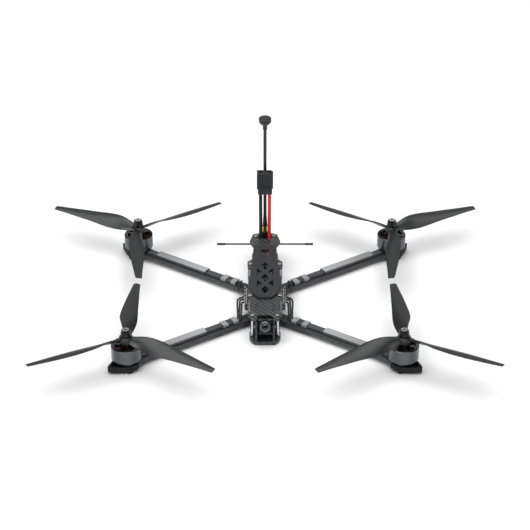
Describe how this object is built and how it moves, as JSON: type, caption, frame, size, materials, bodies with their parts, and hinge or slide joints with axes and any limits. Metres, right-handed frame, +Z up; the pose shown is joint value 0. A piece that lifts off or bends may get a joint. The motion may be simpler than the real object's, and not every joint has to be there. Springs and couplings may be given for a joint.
{
  "type": "quadcopter drone",
  "caption": "Long-range quadcopter with flat carbon arms, brushless motors, three-blade propellers, a tilting nose camera, a battery deck and an upright antenna.",
  "frame": {"origin": "on the underside of the bottom plate, midway between the four motor axes", "axes": "+X towards the right-hand motors, -Y towards the nose with the camera, +Z up along the motor shafts"},
  "size_m": [0.5634, 0.4133, 0.2035],
  "materials": {
    "carbon_twill": "satin woven carbon laminate",
    "pad_rubber": "matt grippy rubber",
    "soft_guard": "printed flexible plastic",
    "black_anodised": "satin black anodised",
    "bearing_steel": "ground",
    "lamination_steel": "black coated laminations",
    "copper_wire": "enamelled copper",
    "magnet_nickel": "nickel plated",
    "shaft_steel": "ground",
    "propeller_nylon": "satin moulded",
    "nut_black": "black with a bright insert",
    "standoff_aluminium": "satin silver",
    "screw_steel": "bright zinc",
    "camera_plastic": "moulded black",
    "lens_ring": "grey anodised with coated glass",
    "circuit_board": "black solder mask",
    "vtx_aluminium": "finned, anodised",
    "capacitor_sleeve": "shrink sleeve",
    "printed_black": "printed layers",
    "gold_plate": "gold plated",
    "antenna_black": "satin",
    "wire_silicone": "silicone",
    "braided_sleeve": "braided nylon",
    "tape_grey": "cloth tape and shrink tube",
    "cover_gloss": "gloss",
    "lead_black": "silicone",
    "lead_red": "silicone",
    "connector_nylon": "glass filled nylon"
  },
  "bodies": {
    "airframe": {"bottom_plate": "carbon_twill", "mid_plate": "carbon_twill", "top_plate": "carbon_twill", "battery_pad": "pad_rubber", "arm_end_guards": "soft_guard", "motor_bases": "black_anodised", "motor_bearings": "bearing_steel", "motor_stators": "lamination_steel", "motor_windings": "copper_wire", "motor_screws": "screw_steel", "standoffs": "standoff_aluminium", "frame_screws": "screw_steel", "camera_side_plates": "carbon_twill", "esc_board": "circuit_board", "flight_controller": "circuit_board", "stack_mounts": "screw_steel", "video_transmitter": "vtx_aluminium", "receiver": "circuit_board", "capacitor": "capacitor_sleeve", "antenna_mount": "printed_black", "video_antenna_socket": "gold_plate", "video_antenna_stem": "antenna_black", "video_antenna_cap": "antenna_black", "receiver_antenna": "antenna_black", "motor_wires": "wire_silicone", "wire_sleeves": "braided_sleeve", "wire_bands": "tape_grey", "wire_covers": "cover_gloss", "battery_lead_black": "lead_black", "battery_lead_red": "lead_red", "connector_housing": "connector_nylon", "connector_cap": "connector_nylon", "connector_contacts": "gold_plate", "arm_front_left": "carbon_twill", "arm_front_right": "carbon_twill", "arm_rear_left": "carbon_twill", "arm_rear_right": "carbon_twill"},
    "rotor_front_left": {"bell_front_left": "black_anodised", "magnets_front_left": "magnet_nickel", "shaft_front_left": "shaft_steel", "propeller_front_left": "propeller_nylon", "prop_nut_front_left": "nut_black"},
    "rotor_front_right": {"bell_front_right": "black_anodised", "magnets_front_right": "magnet_nickel", "shaft_front_right": "shaft_steel", "propeller_front_right": "propeller_nylon", "prop_nut_front_right": "nut_black"},
    "rotor_rear_left": {"bell_rear_left": "black_anodised", "magnets_rear_left": "magnet_nickel", "shaft_rear_left": "shaft_steel", "propeller_rear_left": "propeller_nylon", "prop_nut_rear_left": "nut_black"},
    "rotor_rear_right": {"bell_rear_right": "black_anodised", "magnets_rear_right": "magnet_nickel", "shaft_rear_right": "shaft_steel", "propeller_rear_right": "propeller_nylon", "prop_nut_rear_right": "nut_black"},
    "camera": {"camera_body": "camera_plastic", "camera_lens": "lens_ring", "camera_screws": "screw_steel"}
  },
  "joints": [
    {"name": "rotor_front_left_spin", "type": "hinge", "parent": "airframe", "child": "rotor_front_left", "pos_m": [-0.1664, -0.1339, 0.032], "axis": [0, 0, 1], "continuous": true},
    {"name": "rotor_front_right_spin", "type": "hinge", "parent": "airframe", "child": "rotor_front_right", "pos_m": [0.1664, -0.1339, 0.032], "axis": [0, 0, 1], "continuous": true},
    {"name": "rotor_rear_left_spin", "type": "hinge", "parent": "airframe", "child": "rotor_rear_left", "pos_m": [-0.1664, 0.1339, 0.032], "axis": [0, 0, 1], "continuous": true},
    {"name": "rotor_rear_right_spin", "type": "hinge", "parent": "airframe", "child": "rotor_rear_right", "pos_m": [0.1664, 0.1339, 0.032], "axis": [0, 0, 1], "continuous": true},
    {"name": "camera_tilt", "type": "hinge", "parent": "airframe", "child": "camera", "pos_m": [0, -0.076, 0.0208], "axis": [1, 0, 0], "range_deg": [-30, 30]}
  ]
}
